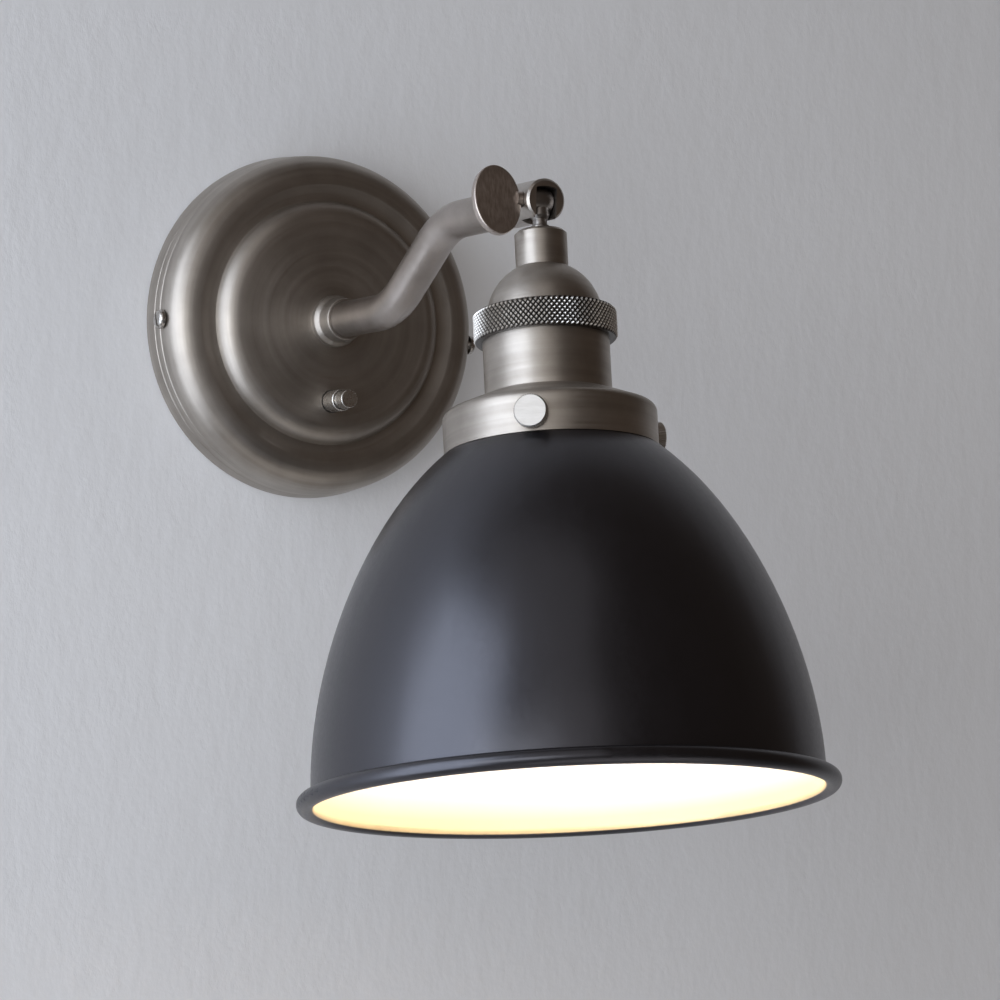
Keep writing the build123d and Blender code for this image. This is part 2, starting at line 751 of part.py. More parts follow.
def make_shade():
    """Spun bell with a turned-out lip at its neck and a round bead at its mouth."""
    mouth = Polyline((shade_mouth_radius + shade_wall, -shade_end),
                     (shade_mouth_radius + shade_wall, -bead_centre),
                     (shade_mouth_radius, -bead_centre), (shade_mouth_radius, -shade_end))
    top = Line((shade_neck_radius, -shade_neck_top), (shade_neck_radius - shade_wall, -shade_neck_top))
    wall = make_face(shade_skin(0) + shade_skin(shade_wall) + mouth + top)
    shade = revolve(Plane.XZ * wall, Axis.Z)
    bead = Plane.XZ * Pos(shade_mouth_radius + bead_radius, -bead_centre) * Circle(bead_radius)
    shade += revolve(bead, Axis.Z)
    shade += ring(shade_neck_radius + shade_lip, shade_neck_radius - shade_wall,
                  shade_neck_top, shade_neck_top + shade_wall)
    return head_frame * shade


def make_shade_screw(place):
    """Round flat-headed screw through the gallery's wall, with its tip at the shade's neck."""
    seat = gallery_radius + moving_gap
    head = extrude(Circle(shade_screw_head_radius), shade_screw_head_height)
    head = fillet(head.edges().group_by(Axis.Z)[-1], shade_screw_head_round)
    screw = Pos(seat, 0, 0) * Rot(0, 90, 0) * head
    screw += rod_along_x(shade_screw_radius, shade_neck_radius + moving_gap, seat + through)
    return head_frame * place * screw


# ---------------------------------------------------------------------- bulb

bulb_centre = bulb_cap_bottom + bulb_length
bulb_cap_bore = bulb_cap_radius - bulb_cap_wall
bulb_neck_radius = bulb_cap_bore - thread_gap


def bulb_skin(inset):
    """One side of the bulb's glass, from its foot in the cap to its nose, drawn in by inset."""
    neck = bulb_neck_radius - inset
    ball = bulb_radius - inset
    foot = Line((neck, bulb_foot - bulb_cap_bottom), (neck, -bulb_cap_bottom))
    side = Bezier((neck, -bulb_cap_bottom), (neck, -bulb_cap_bottom - bulb_neck_pull),
                  (ball, -bulb_centre + bulb_side_pull), (ball, -bulb_centre))
    middle = (ball * cos(radians(45)), -bulb_centre - ball * sin(radians(45)))
    nose = ThreePointArc((ball, -bulb_centre), middle, (0, -bulb_centre - ball))
    return foot + side + nose


def make_bulb_glass():
    foot = Line((bulb_neck_radius, bulb_foot - bulb_cap_bottom),
                (bulb_neck_radius - bulb_wall, bulb_foot - bulb_cap_bottom))
    nose = Line((0, -bulb_centre - bulb_radius), (0, -bulb_centre - bulb_radius + bulb_wall))
    wall = make_face(bulb_skin(0) + bulb_skin(bulb_wall) + foot + nose)
    return head_frame * revolve(Plane.XZ * wall, Axis.Z)


def make_bulb_cap():
    """Thin cap with a flared collar, closed by a rounded tip."""
    tip_end = bulb_cap_top + bulb_tip_height
    thread_start = tip_end + bulb_cap_wall * 2
    collar_start = bulb_cap_bottom - bulb_cap_collar_height
    flare = bulb_cap_collar_radius - bulb_cap_radius
    cap = turned([(0, bulb_cap_top), (bulb_tip_radius, bulb_cap_top),
                  (bulb_cap_radius - bulb_cap_wall * 2, tip_end), (bulb_cap_radius, thread_start),
                  (bulb_cap_radius, collar_start), (bulb_cap_collar_radius, collar_start + flare),
                  (bulb_cap_collar_radius, bulb_cap_bottom), (0, bulb_cap_bottom)],
                 [0, 0.5, 0.5, 0.5, 0, 0.5, 0, 0])
    cap -= disc(bulb_cap_bore, thread_start, bulb_cap_bottom + through)
    return head_frame * cap


# --------------------------------------------------------------------- parts

shade_screw_names = ["shade_screw_right", "shade_screw_rear", "shade_screw_front"]

parts = {
    "backplate_cover": make_backplate_cover(),
    "wall_bracket": make_wall_bracket(),
    "side_screws": make_side_screws(),
    "terminal_block": make_terminal_block(),
    "terminal_screws": make_terminal_screws(),
    "block_screw": make_block_screw(),
    "earth_screw": make_earth_screw(),
    "arm_collar": make_arm_collar(),
    "arm_tube": make_arm_tube(),
    "arm_nipple": make_arm_nipple(),
    "arm_lock_washer": make_arm_lock_washer(),
    "arm_locknut": make_arm_locknut(),
    "switch_body": make_switch_body(),
    "switch_bush": make_switch_bush(),
    "switch_nut": make_switch_nut(),
    "switch_button": make_switch_button(),
    "knuckle_barrel": make_knuckle_barrel(),
    "thumb_screw": make_thumb_screw(),
    "swivel_tongue": make_swivel_tongue(),
    "neck_cap": make_neck_cap(),
    "head_nipple": make_head_nipple(),
    "lampholder_dome": make_lampholder_dome(),
    "knurled_ring": make_knurled_ring(),
    "lampholder_sleeve": make_lampholder_sleeve(),
    "lampholder_body": make_lampholder_body(),
    "holder_terminals": make_holder_terminals(),
    "screw_shell": make_screw_shell(),
    "centre_contact": make_centre_contact(),
    "shade_gallery": make_shade_gallery(),
    "clamp_ring": make_clamp_ring(),
    "shade": make_shade(),
    "bulb_glass": make_bulb_glass(),
    "bulb_cap": make_bulb_cap(),
}
for name, place in zip(shade_screw_names, shade_screw_places()):
    parts[name] = make_shade_screw(place)

for name, solid in parts.items():
    export_step(solid, f"parts/{name}.step")
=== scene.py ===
import bmesh
import bpy
import json
from math import atan2, cos, degrees, pi, radians, sin, tan
from mathutils import Matrix, Vector


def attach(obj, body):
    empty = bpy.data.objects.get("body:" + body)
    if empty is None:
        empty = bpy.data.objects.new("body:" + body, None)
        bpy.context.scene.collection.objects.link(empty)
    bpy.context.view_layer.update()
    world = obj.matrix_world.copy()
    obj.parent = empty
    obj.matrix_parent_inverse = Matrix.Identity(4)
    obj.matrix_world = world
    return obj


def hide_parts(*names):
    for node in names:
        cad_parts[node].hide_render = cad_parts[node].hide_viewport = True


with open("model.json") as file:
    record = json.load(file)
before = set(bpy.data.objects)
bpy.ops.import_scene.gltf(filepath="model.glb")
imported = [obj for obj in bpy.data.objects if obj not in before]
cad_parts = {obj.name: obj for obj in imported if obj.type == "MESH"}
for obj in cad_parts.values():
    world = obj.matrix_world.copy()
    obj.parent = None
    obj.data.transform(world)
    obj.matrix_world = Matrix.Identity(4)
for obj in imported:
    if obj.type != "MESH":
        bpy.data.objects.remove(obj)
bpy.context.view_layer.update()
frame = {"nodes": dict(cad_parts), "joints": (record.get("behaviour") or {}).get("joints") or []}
nodes = frame["nodes"]
scene = bpy.context.scene

# Lengths and places of the pieces are written in millimetres, and their meshes are made in
# metres. The stage, the lights and the materials are written in metres.
MM = 0.001

# Places from the frame
pivot = Vector(next(j["pos_m"] for j in frame["joints"] if j["name"] == "head_tilt"))
screw_joints = [j for j in frame["joints"] if j["name"].startswith("screw_")]
rest_tilt = 9.0              # of the head from hanging straight down, in degrees
wall_place = Matrix.Rotation(radians(-90), 4, "X")
head_place = Matrix.Translation(pivot) @ Matrix.Rotation(radians(-rest_tilt), 4, "X")
head_axis = head_place.to_3x3() @ Vector((0, 0, 1))

# Knurled ring, with distances down the head's axis
ring_radius = 23.3
ring_bore = 18.75
ring_top = 37.4
ring_bottom = 46.8
ring_chamfer = 0.8
ring_pitch = 1.75            # of the diamonds, round the ring
ring_rows = 4                # of diamonds
ring_depth = 0.8             # of the grooves between them

# Shade screws, with distances out from the head's axis
screw_drop = 77.8            # of a screw's axis, down the head's axis
screw_tip = 32.7
screw_seat = 34.8            # under the screw's head
screw_shank_radius = 1.8
screw_head_radius = 5.4
screw_head_height = 3.2
screw_head_bevel = 0.45
screw_ridges = 44
screw_ridge_depth = 0.22

# Wall plate, whose profile's points are a radius and a height from the wall
plate_radius = 61.5
plate_draft = 5.4            # lean of its side, in degrees
plate_wall = 1.2
line_heights = 5.6, 9.4      # of the scribed lines round its side
line_depth = 0.25
shoulder_centre = 50.5, 10.2
shoulder_round = 10.0
shoulder_wall = 0.7
shoulder_end = -8            # lean of the shoulder's skin where the hollow starts, in degrees
shoulder_steps = 28
hollow_low = 46.5, 19.0
step_foot = 43.5, 19.1       # where the disc rises from the hollow
foot_land = 0.5, 0.02        # of the hollow's last point, out and down from the foot
step_round = 8.0
step_inner_lean = 6          # by which the inner skin's arc starts flatter, in degrees
step_steps = 18
disc_edge = 35.9             # where the disc's flat ends
disc_middle = 20.0           # a ring of points on the disc's flat
disc_height = 25.0
arm_hole = 5.25
switch_hole = 4.15
switch_drop = 28.5           # below the plate's centre
switch_place = Matrix.Translation(Vector((0, 0, -switch_drop * MM))) @ wall_place
drill_reach = 5              # to each side of the disc's face
plate_segments = 240
hole_segments = 64

# Shade and bulb, with radii from the head's axis and heights along it from the pivot, in metres
shade_skin = 0.0809          # the bead lies outside this radius
skin_blend = 0.0002          # over which the paint inside gives way to the bead's
mouth_height = -0.191
painted_rim_shade_end = -0.178    # where the painted shade near the mouth, on the shade's inside, ends
bulb_ball_height = -0.12
bulb_neck_height = -0.085


# ------------------------------------------------------------------- meshes

def linked(name, bm):
    """Object in the scene with a bmesh's faces. The bmesh is freed."""
    mesh = bpy.data.meshes.new(name)
    bm.to_mesh(mesh)
    bm.free()
    piece = bpy.data.objects.new(name, mesh)
    scene.collection.objects.link(piece)
    return piece


def add_mesh(name, bm, body, material, sharp=None):
    """Piece of the lamp, with a bmesh's faces, that rides on a body."""
    bmesh.ops.recalc_face_normals(bm, faces=bm.faces)
    piece = linked(name, bm)
    if sharp is not None:
        piece.data.shade_smooth()
        piece.data.set_sharp_from_angle(angle=radians(sharp))
    piece.data.materials.append(material)
    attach(piece, body)
    return piece


def ring_of_points(bm, radii, distance, count, place):
    """Vertices round the place's -Z axis, at a distance down it; the radii are taken in turn."""
    ring = []
    for index in range(count):
        angle = 2 * pi * index / count
        radius = radii[index % len(radii)]
        point = Vector((radius * cos(angle), radius * sin(angle), -distance)) * MM
        ring.append(bm.verts.new(place @ point))
    return ring


def bridge(bm, first, second):
    """Faces between two rings of as many points."""
    count = len(first)
    for index in range(count):
        after = (index + 1) % count
        bm.faces.new((first[index], first[after], second[after], second[index]))


def knurled_ring_mesh():
    """Ring with a band of raised diamonds between two chamfered rims."""
    bm = bmesh.new()
    columns = 2 * round(2 * pi * ring_radius / ring_pitch)
    band_top = ring_top + ring_chamfer
    band_bottom = ring_bottom - ring_chamfer
    floor_and_peak = ring_radius - ring_depth, ring_radius
    rows = []
    for row in range(2 * ring_rows + 1):
        distance = band_top + (band_bottom - band_top) * row / (2 * ring_rows)
        radii = floor_and_peak if row % 2 == 0 else floor_and_peak[::-1]
        rows.append(ring_of_points(bm, radii, distance, columns, head_place))
    for row, (upper, lower) in enumerate(zip(rows, rows[1:])):
        for column in range(columns):
            after = (column + 1) % columns
            corners = upper[column], upper[after], lower[after], lower[column]
            # Each square is split from groove to groove, so that the peaks are pyramids.
            start = (row + column) % 2
            bm.faces.new((corners[0], corners[1], corners[2 + start]))
            bm.faces.new((corners[start], corners[2], corners[3]))
    rim = ring_radius - ring_chamfer
    rims = [ring_of_points(bm, [radius], distance, columns, head_place)
            for radius, distance in ((rim, ring_top), (ring_bore, ring_top),
                                     (ring_bore, ring_bottom), (rim, ring_bottom))]
    loop = [rows[0], *rims, rows[-1]]
    for first, second in zip(loop, loop[1:]):
        bridge(bm, first, second)
    return bm


def drilled(bm, cutter):
    """The solid of bm with the cutter's solid taken out of it."""
    pieces = []
    for solid in (bm, cutter):
        bmesh.ops.recalc_face_normals(solid, faces=solid.faces)
        pieces.append(linked("drilled", solid))
    cut = pieces[0].modifiers.new("cut", "BOOLEAN")
    cut.operation = "DIFFERENCE"
    cut.solver = "EXACT"
    cut.object = pieces[1]
    result = bmesh.new()
    result.from_object(pieces[0], bpy.context.evaluated_depsgraph_get())
    for piece in pieces:
        mesh = piece.data
        bpy.data.objects.remove(piece)
        bpy.data.meshes.remove(mesh)
    return result


def arc(centre, radius, first, last, count):
    """Points of a profile's arc, as its skin's lean goes from first to last, in degrees."""
    leans = [radians(first + (last - first) * index / count) for index in range(count + 1)]
    return [(centre[0] + radius * sin(lean), centre[1] + radius * cos(lean)) for lean in leans]


def cover_mesh():
    """Spun wall plate, with scribed lines, round shoulder, shallow hollow and soft-edged disc."""
    side_lean = 90 - plate_draft
    step_centre = disc_edge, disc_height - step_round
    step_lean = degrees(atan2(step_foot[0] - step_centre[0], step_foot[1] - step_centre[1]))
    back = disc_height - plate_wall
    outer = [(plate_radius, 0)]
    for height in line_heights:
        radius = plate_radius - height * tan(radians(plate_draft))
        outer += [(radius, height - line_depth),
                  (radius - line_depth, height),
                  (radius, height + line_depth)]
    outer += arc(shoulder_centre, shoulder_round, side_lean, shoulder_end, shoulder_steps)
    outer += [hollow_low, (step_foot[0] + foot_land[0], step_foot[1] - foot_land[1])]
    outer += arc(step_centre, step_round, step_lean, 0, step_steps)
    outer += [(disc_middle, disc_height), (arm_hole, disc_height)]
    inner = [(plate_radius - plate_wall, 0)]
    inner += arc(shoulder_centre, shoulder_round - shoulder_wall, side_lean, shoulder_end,
                 shoulder_steps // 2)
    inner += [(hollow_low[0], hollow_low[1] - shoulder_wall),
              (step_foot[0] - plate_wall, step_foot[1] - shoulder_wall)]
    inner += arc(step_centre, step_round - plate_wall, step_lean - step_inner_lean, 0,
                 step_steps // 2)
    inner += [(disc_middle, back), (arm_hole, back)]
    plate = bmesh.new()
    rings = [ring_of_points(plate, [radius], height, plate_segments, wall_place)
             for radius, height in outer + inner[::-1]]
    for first, second in zip(rings, rings[1:] + rings[:1]):
        bridge(plate, first, second)
    drill = bmesh.new()
    ends = [ring_of_points(drill, [switch_hole], height, hole_segments, switch_place)
            for height in (disc_height - drill_reach, disc_height + drill_reach)]
    bridge(drill, *ends)
    for end in ends:
        drill.faces.new(end)
    return drilled(plate, drill)


def shade_screw_mesh(place):
    """Flat head with a ridged rim, and its shank, out along the place's +X axis."""
    bm = bmesh.new()
    columns = 4 * screw_ridges
    seat = place @ Matrix.Translation(Vector((screw_seat, 0, 0)) * MM)
    away = seat @ Matrix.Rotation(radians(90), 4, "Y")
    flat = screw_head_radius - screw_head_bevel
    dip = screw_head_radius - screw_ridge_depth
    ridged = screw_head_radius, screw_head_radius, dip, dip
    sections = [([screw_shank_radius], screw_tip - screw_seat),
                ([screw_shank_radius], 0),
                ([flat], 0),
                (ridged, screw_head_bevel),
                (ridged, screw_head_height - screw_head_bevel),
                ([flat], screw_head_height),
                ([flat - screw_head_bevel], screw_head_height)]
    rings = [ring_of_points(bm, radii, -height, columns, away) for radii, height in sections]
    for first, second in zip(rings, rings[1:]):
        bridge(bm, first, second)
    bm.faces.new(rings[0])
    bm.faces.new(rings[-1])
    return bm


# ---------------------------------------------------------------- materials

class Shader:
    """One node material: math on the object's own coordinates, into a Principled BSDF."""

    def __init__(self, name, **settings):
        self.material = bpy.data.materials.new(name)
        self.material.use_nodes = True
        self.tree = self.material.node_tree
        self.surface = self.tree.nodes["Principled BSDF"]
        self.output = self.tree.nodes["Material Output"]
        for socket, value in settings.items():
            self.surface.inputs[socket.replace("_", " ")].default_value = value
        self.place = self.node("ShaderNodeTexCoord").outputs["Object"]

    def node(self, kind, **settings):
        node = self.tree.nodes.new(kind)
        for key, value in settings.items():
            setattr(node, key, value)
        return node

    def put(self, socket, value):
        if isinstance(value, bpy.types.NodeSocket):
            self.tree.links.new(value, socket)
        else:
            socket.default_value = value

    def math(self, operation, *values):
        node = self.node("ShaderNodeMath", operation=operation)
        for socket, value in zip(node.inputs, values):
            self.put(socket, value)
        return node.outputs[0]

    def vector(self, operation, *values):
        node = self.node("ShaderNodeVectorMath", operation=operation)
        for socket, value in zip(node.inputs, values):
            self.put(socket, value)
        return node.outputs["Value" if operation in ("DOT_PRODUCT", "LENGTH") else "Vector"]

    def turned(self, vector, kind, source, target):
        node = self.node("ShaderNodeVectorTransform", vector_type=kind, convert_from=source,
                         convert_to=target)
        self.put(node.inputs[0], vector)
        return node.outputs[0]

    def scaled(self, vector, amount):
        node = self.node("ShaderNodeVectorMath", operation="SCALE")
        self.put(node.inputs[0], vector)
        self.put(node.inputs["Scale"], amount)
        return node.outputs["Vector"]

    def noise(self, vector, scale, detail=2.0, roughness=0.5, fourth=None):
        node = self.node("ShaderNodeTexNoise", noise_dimensions="3D" if fourth is None else "4D")
        self.put(node.inputs["Vector"], vector)
        node.inputs["Scale"].default_value = scale
        node.inputs["Detail"].default_value = detail
        node.inputs["Roughness"].default_value = roughness
        if fourth is not None:
            self.put(node.inputs["W"], fourth)
        return node.outputs["Fac"]

    def remap(self, value, low, high, to_low=0.0, to_high=1.0):
        node = self.node("ShaderNodeMapRange")
        ends = {"From Min": low, "From Max": high, "To Min": to_low, "To Max": to_high}
        for name, number in ends.items():
            node.inputs[name].default_value = number
        self.put(node.inputs["Value"], value)
        return node.outputs["Result"]

    def mixed(self, factor, first, second):
        node = self.node("ShaderNodeMix", data_type="RGBA")
        self.put(node.inputs[0], factor)
        self.put(node.inputs[6], first)
        self.put(node.inputs[7], second)
        return node.outputs[2]

    def bump(self, height, distance, strength=1.0):
        node = self.node("ShaderNodeBump")
        node.inputs["Distance"].default_value = distance
        node.inputs["Strength"].default_value = strength
        self.put(node.inputs["Height"], height)
        return node.outputs["Normal"]

    def set(self, **links):
        for socket, value in links.items():
            self.put(self.surface.inputs[socket.replace("_", " ")], value)

    def axis(self, origin, direction):
        """Height along an axis, distance from it, and the unit vector away from it."""
        offset = self.vector("SUBTRACT", self.place, tuple(origin))
        height = self.vector("DOT_PRODUCT", offset, tuple(direction))
        along = self.scaled(tuple(direction), height)
        across = self.vector("SUBTRACT", offset, along)
        return height, self.vector("LENGTH", across), self.vector("NORMALIZE", across)


noise_wide = 0.3, 0.7        # parts of a noise's range that are stretched to a whole range
noise_narrow = 0.35, 0.65
pewter_light = (0.50, 0.462, 0.422, 1)
pewter_dark = (0.31, 0.28, 0.248, 1)
turning_lines = 2600.0       # how close the marks of turning lie, per metre
turning_reach = 0.35         # how soon a mark changes on its way round
grain = 900.0                # how fine the grain of a metal is, per metre


def turned_pewter(name, place, shine):
    """Pewter finish brushed round an axis, the place's Z."""
    shader = Shader(name, Metallic=1.0, Roughness=shine, Anisotropic=0.3,
                    Anisotropic_Rotation=0.25)
    direction = place.to_3x3() @ Vector((0, 0, 1))
    height, radius, outward = shader.axis(place.to_translation(), direction)
    around = shader.scaled(outward, turning_reach)
    depth = shader.math("ADD", shader.math("MULTIPLY", radius, turning_lines),
                        shader.math("MULTIPLY", height, turning_lines))
    fine = shader.noise(around, 1.0, 3.0, 0.6, depth)
    coarse = shader.noise(around, 1.0, 2.0, 0.5, shader.math("MULTIPLY", depth, 0.12))
    cloud = shader.noise(shader.place, 55.0, 4.0, 0.6)
    tone = shader.math("ADD", shader.math("MULTIPLY", coarse, 0.5),
                       shader.math("MULTIPLY", cloud, 0.5))
    tangent = shader.vector("CROSS_PRODUCT", tuple(direction), outward)
    shader.set(Base_Color=shader.mixed(shader.remap(tone, *noise_wide), pewter_dark, pewter_light),
               Tangent=shader.turned(tangent, "VECTOR", "OBJECT", "WORLD"),
               Roughness=shader.remap(fine, *noise_wide, shine - 0.05, shine + 0.09),
               Normal=shader.bump(fine, 0.00002))
    return shader.material


def brushed_flat(name, light, dark, shine, stretch):
    """Metal brushed along one way, with the noise drawn out by stretch."""
    shader = Shader(name, Metallic=1.0)
    drawn = shader.vector("MULTIPLY", shader.place, stretch)
    lines = shader.noise(drawn, 1.0, 4.0, 0.65)
    cloud = shader.noise(shader.place, 80.0, 3.0, 0.55)
    tone = shader.math("ADD", shader.math("MULTIPLY", lines, 0.6),
                       shader.math("MULTIPLY", cloud, 0.4))
    shader.set(Base_Color=shader.mixed(shader.remap(tone, *noise_narrow), dark, light),
               Roughness=shader.remap(lines, *noise_wide, shine - 0.05, shine + 0.07),
               Normal=shader.bump(lines, 0.00001))
    return shader.material


def knurled_metal(name, light, dark, shine):
    """Knurled band: grooves painted dark as shade, and tips painted bright as a highlight."""
    shader = Shader(name, Metallic=1.0)
    _, radius, _ = shader.axis(pivot, head_axis)
    depth = ring_depth * MM
    groove = (ring_radius - ring_depth) * MM
    # Painted shade in the grooves and painted highlight on the tips: the colour goes from dark to
    # light with distance from the axis.
    painted_light_by_depth = shader.remap(radius, groove + 0.15 * depth, groove + 0.75 * depth)
    grains = shader.noise(shader.place, grain, 3.0, 0.6)
    shader.set(Base_Color=shader.mixed(painted_light_by_depth, dark, light),
               Roughness=shader.remap(grains, *noise_wide, shine - 0.05, shine + 0.07),
               Normal=shader.bump(grains, 0.00001))
    return shader.material


def plain_metal(name, light, dark, shine):
    """Metal with fine grain and faint clouding."""
    shader = Shader(name, Metallic=1.0)
    grains = shader.noise(shader.place, grain, 3.0, 0.6)
    cloud = shader.noise(shader.place, 60.0, 3.0, 0.55)
    shader.set(Base_Color=shader.mixed(shader.remap(cloud, *noise_wide), dark, light),
               Roughness=shader.remap(grains, *noise_wide, shine - 0.05, shine + 0.07),
               Normal=shader.bump(grains, 0.00002))
    return shader.material


def drawn_tube(name, light, dark, shine, along):
    """Tube polished round and round, so that its highlights are drawn out along it."""
    shader = Shader(name, Metallic=1.0, Anisotropic=0.5)
    grains = shader.noise(shader.place, grain, 3.0, 0.6)
    cloud = shader.noise(shader.place, 60.0, 3.0, 0.55)
    shader.set(Base_Color=shader.mixed(shader.remap(cloud, *noise_wide), dark, light),
               Tangent=shader.turned(along, "VECTOR", "OBJECT", "WORLD"),
               Roughness=shader.remap(grains, *noise_wide, shine - 0.04, shine + 0.06),
               Normal=shader.bump(grains, 0.00002))
    return shader.material


def moulded(name, color, shade, shine):
    """Plastic or porcelain with a faint uneven skin."""
    shader = Shader(name)
    grains = shader.noise(shader.place, 1200.0, 2.0, 0.5)
    cloud = shader.noise(shader.place, 90.0, 3.0, 0.5)
    shader.set(Base_Color=shader.mixed(shader.remap(cloud, *noise_narrow), shade, color),
               Roughness=shader.remap(grains, *noise_wide, shine - 0.04, shine + 0.06),
               Normal=shader.bump(grains, 0.000015))
    return shader.material


def shade_paint():
    """Satin black outside and white inside, told apart by which way the skin faces, with a warm
    painted shade inside near the mouth.
    """
    shader = Shader("shade_paint", Specular_IOR_Level=1.0, Specular_Tint=(0.86, 0.87, 1.0, 1))
    height, radius, outward = shader.axis(pivot, head_axis)
    normal = shader.node("ShaderNodeNewGeometry").outputs["Normal"]
    skin_way = shader.turned(normal, "NORMAL", "WORLD", "OBJECT")
    facing = shader.vector("DOT_PRODUCT", skin_way, outward)
    past_wall = shader.remap(radius, shade_skin - skin_blend, shade_skin)
    inward = shader.remap(facing, -0.05, -0.15)
    inner = shader.math("MULTIPLY", inward, shader.math("SUBTRACT", 1.0, past_wall))
    peel = shader.noise(shader.place, 700.0, 2.0, 0.5)
    dust = shader.remap(shader.noise(shader.place, 90.0, 4.0, 0.6), *noise_narrow)
    black = shader.mixed(dust, (0.0042, 0.0036, 0.0040, 1), (0.0058, 0.0050, 0.0056, 1))
    deep = shader.mixed(dust, (0.84, 0.82, 0.79, 1), (0.87, 0.85, 0.82, 1))
    # Painted shade: towards the mouth the inside paint turns darker and warmer, where less of the
    # bulb's light reaches.
    white = shader.mixed(shader.remap(height, mouth_height, painted_rim_shade_end),
                         (0.74, 0.58, 0.34, 1), deep)
    shader.set(Base_Color=shader.mixed(inner, black, white),
               Roughness=shader.remap(peel, *noise_wide, 0.29, 0.34),
               Normal=shader.bump(peel, 0.000012))
    return shader.material


def lit_glass():
    """Frosted bulb, lit, with a light that is warmer towards its cap."""
    shader = Shader("lit_bulb", Roughness=0.3, Emission_Strength=10.0)
    height, _, _ = shader.axis(pivot, head_axis)
    cloud = shader.remap(shader.noise(shader.place, 60.0, 2.0, 0.5), *noise_wide)
    shader.set(Base_Color=shader.mixed(cloud, (0.9, 0.88, 0.84, 1), (0.93, 0.91, 0.88, 1)),
               Emission_Color=shader.mixed(
                   shader.remap(height, bulb_ball_height, bulb_neck_height),
                   (1.0, 0.87, 0.74, 1), (1.0, 0.78, 0.56, 1)))
    return shader.material


# Metals are given their lighter tone, their darker tone and their roughness.
wall_pewter = turned_pewter("turned_pewter_wall", wall_place, 0.42)
arm_pewter = drawn_tube("arm_pewter", (0.51, 0.465, 0.435, 1), (0.37, 0.33, 0.30, 1), 0.32,
                        (0, -1, 0.45))
knuckle_pewter = plain_metal("brushed_pewter", (0.55, 0.515, 0.48, 1), (0.38, 0.35, 0.32, 1), 0.32)
head_pewter = turned_pewter("turned_pewter_head", head_place, 0.40)
paddle_pewter = brushed_flat("paddle_pewter", (0.64, 0.575, 0.53, 1), (0.42, 0.37, 0.335, 1), 0.38,
                             (1400, 1400, 60))
# Steel toned darker than the other metals, as painted shade for the tongue that sits in the
# knuckle's slot.
tongue_steel_painted_shade = plain_metal("steel_with_painted_shade", (0.30, 0.28, 0.265, 1), (0.20, 0.185, 0.175, 1), 0.36)
bright_nickel = plain_metal("bright_nickel", (0.62, 0.60, 0.57, 1), (0.48, 0.46, 0.44, 1), 0.28)
# Knurl: a near-white tone for the painted highlight on the tips and a near-black one for the
# painted shade in the grooves.
knurl_pewter = knurled_metal("knurled_pewter", (0.92, 0.89, 0.85, 1), (0.05, 0.045, 0.04, 1), 0.30)
screw_pewter = brushed_flat("screw_pewter", (0.70, 0.68, 0.655, 1), (0.60, 0.58, 0.555, 1), 0.40,
                            (250, 250, 1800))
zinc = plain_metal("zinc_plate", (0.66, 0.67, 0.69, 1), (0.52, 0.53, 0.55, 1), 0.36)
brass = plain_metal("brass", (0.74, 0.56, 0.28, 1), (0.60, 0.44, 0.22, 1), 0.32)
porcelain = moulded("porcelain", (0.82, 0.80, 0.76, 1), (0.76, 0.74, 0.70, 1), 0.28)
white_plastic = moulded("white_plastic", (0.76, 0.76, 0.74, 1), (0.71, 0.71, 0.69, 1), 0.45)
black_plastic = moulded("black_plastic", (0.03, 0.03, 0.033, 1), (0.024, 0.024, 0.026, 1), 0.45)
black_paint = shade_paint()
bulb_light = lit_glass()

finishes = {
    wall_pewter: ["backplate_cover", "arm_collar"],
    arm_pewter: ["arm_tube"],
    knuckle_pewter: ["knuckle_barrel"],
    paddle_pewter: ["thumb_screw"],
    tongue_steel_painted_shade: ["swivel_tongue"],
    bright_nickel: ["side_screws", "switch_bush", "switch_button"],
    head_pewter: ["neck_cap", "lampholder_dome", "lampholder_sleeve", "shade_gallery"],
    zinc: ["wall_bracket", "block_screw", "arm_nipple", "arm_lock_washer", "switch_nut",
           "head_nipple", "bulb_cap"],
    brass: ["terminal_screws", "earth_screw", "arm_locknut", "holder_terminals", "screw_shell",
            "centre_contact"],
    porcelain: ["lampholder_body"],
    white_plastic: ["terminal_block", "clamp_ring"],
    black_plastic: ["switch_body"],
    black_paint: ["shade"],
    bulb_light: ["bulb_glass"],
}
for material, names in finishes.items():
    for name in names:
        slots = nodes[name].data.materials
        for index in range(len(slots)):
            slots[index] = material

# ------------------------------------------------------------------- pieces

cover = add_mesh("wall_plate", cover_mesh(), "base", wall_pewter, sharp=25)
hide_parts("backplate_cover")

ring = add_mesh("knurled_band", knurled_ring_mesh(), "head", knurl_pewter)
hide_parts("knurled_ring")

for joint in screw_joints:
    body = joint["name"].removesuffix("_turn")
    out = head_place.to_3x3().inverted() @ Vector(joint["axis"])
    drop = head_place @ Matrix.Translation(Vector((0, 0, -screw_drop * MM)))
    place = drop @ Matrix.Rotation(atan2(out.y, out.x), 4, "Z")
    head = add_mesh("shade_" + body + "_head", shade_screw_mesh(place), body, screw_pewter,
                    sharp=20)
    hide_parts("shade_" + body)

# -------------------------------------------------------------- stage, light

def plane(name, centre, across, up, material):
    """Square of a backdrop about a centre, facing across x up."""
    bm = bmesh.new()
    corners = [centre + across * a + up * b for a, b in ((-1, -1), (1, -1), (1, 1), (-1, 1))]
    bm.faces.new([bm.verts.new(corner) for corner in corners])
    piece = linked(name, bm)
    piece.data.materials.append(material)
    return piece


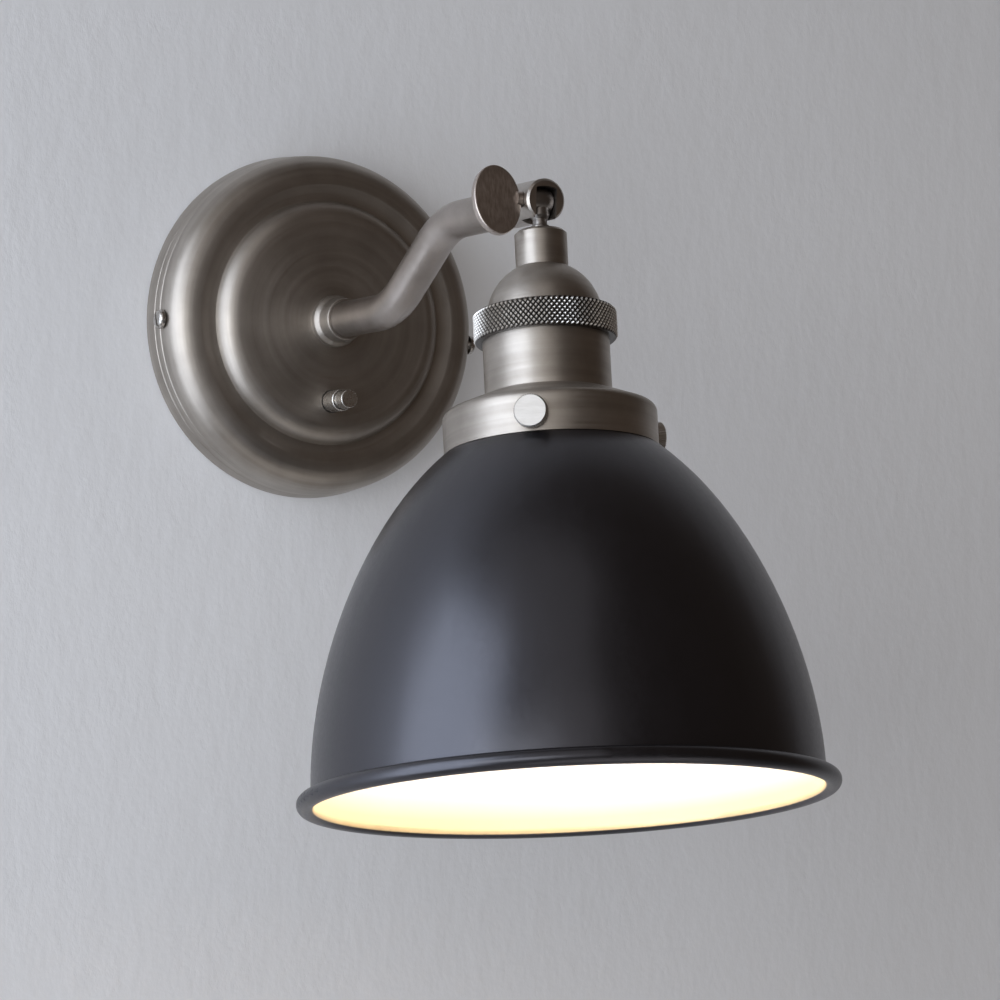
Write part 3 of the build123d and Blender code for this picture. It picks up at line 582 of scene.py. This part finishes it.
def one_sided(name, color, lift=0.0):
    """Matt paint, seen paler by lift, and clear from its back, to show the lamp from behind."""
    shader = Shader(name, Roughness=0.9)
    strokes = shader.vector("MULTIPLY", shader.place, (1.0, 1.0, 0.6))
    plaster = shader.noise(strokes, 110.0, 6.0, 0.6)
    cloud = shader.noise(shader.place, 5.0, 2.0, 0.5)
    darker = tuple(c * 0.96 for c in color[:3]) + (1,)
    path = shader.node("ShaderNodeLightPath")
    seen = shader.math("MAXIMUM", path.outputs["Is Camera Ray"], path.outputs["Is Glossy Ray"])
    paint = shader.mixed(shader.remap(cloud, *noise_narrow), darker, color)
    shader.set(Base_Color=paint, Emission_Color=paint,
               Emission_Strength=shader.math("MULTIPLY", seen, lift),
               Normal=shader.bump(plaster, 0.0010, 0.45))
    clear = shader.node("ShaderNodeBsdfTransparent")
    either = shader.node("ShaderNodeMixShader")
    back = shader.node("ShaderNodeNewGeometry").outputs["Backfacing"]
    shader.put(either.inputs["Fac"], back)
    shader.put(either.inputs[1], shader.surface.outputs[0])
    shader.put(either.inputs[2], clear.outputs[0])
    shader.put(shader.output.inputs["Surface"], either.outputs[0])
    return shader.material


wall_paint = one_sided("wall_paint", (0.645, 0.65, 0.67, 1), 0.20)
wall_gap = 0.0012            # behind the plane that the plate stands on
wall = plane("wall", Vector((0, wall_gap, 0)), Vector((3, 0, 0)), Vector((0, 0, 3)), wall_paint)
wall.visible_shadow = False
plane("floor", Vector((0, -2.9, -1.3)), Vector((3, 0, 0)), Vector((0, 3, 0)),
      one_sided("floor_paint", (0.6, 0.59, 0.58, 1)))

# Each light has a place, a point it is aimed at, a width and height, a power and a color.
lights = {
    "window": ((-0.72, -0.285, -0.10), (0, -0.285, -0.10), (0.55, 1.25), 7.0, (0.80, 0.88, 1.0)),
    "ceiling": ((-0.9, -1.0, 1.4), (0, -0.1, 0), (1.6, 1.2), 2.2, (1.0, 0.97, 0.95)),
    "window_side": ((-1.15, -1.1, -0.1), (0, -0.5, -0.1), (0.9, 0.8), 5.0, (0.95, 0.98, 1.0)),
    "room": ((-1.3, -2.4, 0.4), (0, -0.1, 0), (1.6, 2.0), 5.0, (1.0, 0.96, 0.93)),
    "bounce": ((0.1, -0.7, -1.1), (0, 0, -0.2), (1.2, 1.0), 1.8, (1.0, 0.93, 0.86)),
    "behind": ((0.5, 1.3, 0.6), (0, 0, 0), (1.5, 1.5), 5.0, (1, 1, 1)),
}
for name, (place, aim, size, power, color) in lights.items():
    data = bpy.data.lights.new(name, "AREA")
    data.shape = "RECTANGLE"
    data.size, data.size_y = size
    data.energy = power
    data.color = color
    light = bpy.data.objects.new(name, data)
    scene.collection.objects.link(light)
    light.location = place
    light.visible_camera = False
    light.rotation_euler = (Vector(aim) - Vector(place)).to_track_quat("-Z", "Y").to_euler()

world = bpy.data.worlds.new("room_light")
scene.world = world
world.use_nodes = True
background = world.node_tree.nodes["Background"]
background.inputs["Color"].default_value = (1.0, 0.76, 0.61, 1)
background.inputs["Strength"].default_value = 0.07

scene.view_settings.view_transform = "Standard"

# ------------------------------------------------------------------- camera

# The camera stands below the lamp and to its left, and looks slightly up.
camera_at = Vector((-652.504, -1355.781, -163.687)) * MM
camera_turn = radians(-28.4537)
camera_lift = radians(3.9355)
camera_roll = radians(1.6082)
focal_pixels = 4200
frame_pixels = 1000
sensor = 36.0

ahead = Vector((sin(-camera_turn) * cos(camera_lift),
                cos(-camera_turn) * cos(camera_lift),
                sin(camera_lift)))
right = Vector((cos(-camera_turn), -sin(-camera_turn), 0))
up = right.cross(ahead)
side = right * cos(camera_roll) + up * sin(camera_roll)
top = up * cos(camera_roll) - right * sin(camera_roll)
camera_data = bpy.data.cameras.new("camera")
camera_data.sensor_width = sensor
camera_data.lens = focal_pixels / frame_pixels * sensor
camera_data.clip_start = 0.05
camera = bpy.data.objects.new("camera", camera_data)
scene.collection.objects.link(camera)
camera_axes = Matrix((side, top, -ahead)).transposed().to_4x4()
camera.matrix_world = Matrix.Translation(camera_at) @ camera_axes
scene.camera = camera
